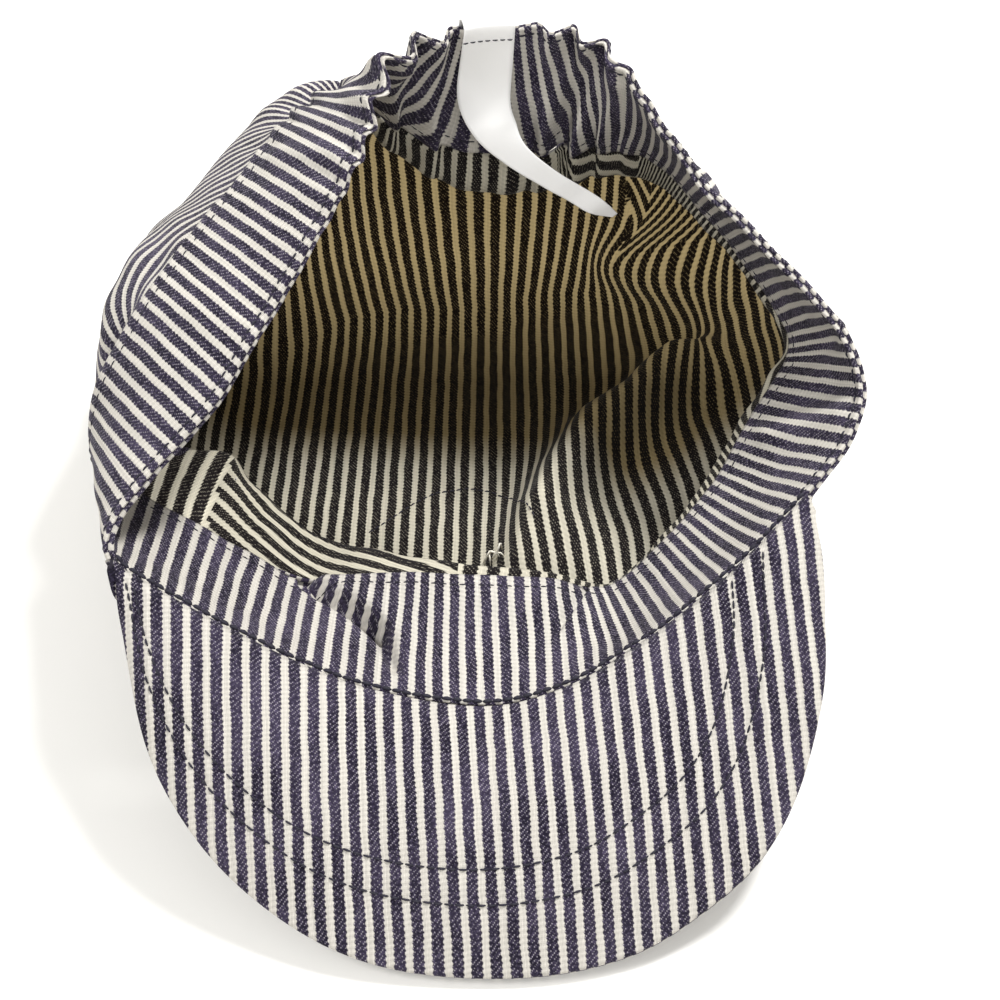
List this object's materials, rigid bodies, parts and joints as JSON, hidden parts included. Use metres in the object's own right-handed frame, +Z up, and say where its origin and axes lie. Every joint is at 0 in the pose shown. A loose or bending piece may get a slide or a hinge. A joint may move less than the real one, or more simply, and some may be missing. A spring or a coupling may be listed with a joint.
{
  "type": "railroad engineer cap",
  "caption": "Soft striped work cap with a stiff brim, a head band gathered at the back and a ribbon label, lying upside down on its crown.",
  "frame": {"origin": "middle of the cap's outline, on the surface that it lies on", "axes": "+Z up as it lies on its crown, -Y towards the tip of the brim, +X to the right seen from the brim"},
  "size_m": [0.2302, 0.2882, 0.1386],
  "materials": {
    "crown_denim": "hickory-stripe twill, navy and ecru, its paler reverse inside the crown",
    "band_denim": "hickory-stripe twill, good side out on both faces, edge-stitched in dark thread",
    "brim_denim": "hickory-stripe twill over a stiffener, with two rows of dark stitching",
    "label_satin": "plain white satin ribbon"
  },
  "bodies": {
    "root": {"crown": "crown_denim", "head_band": "band_denim", "brim": "brim_denim", "care_label": "label_satin"}
  },
  "joints": []
}
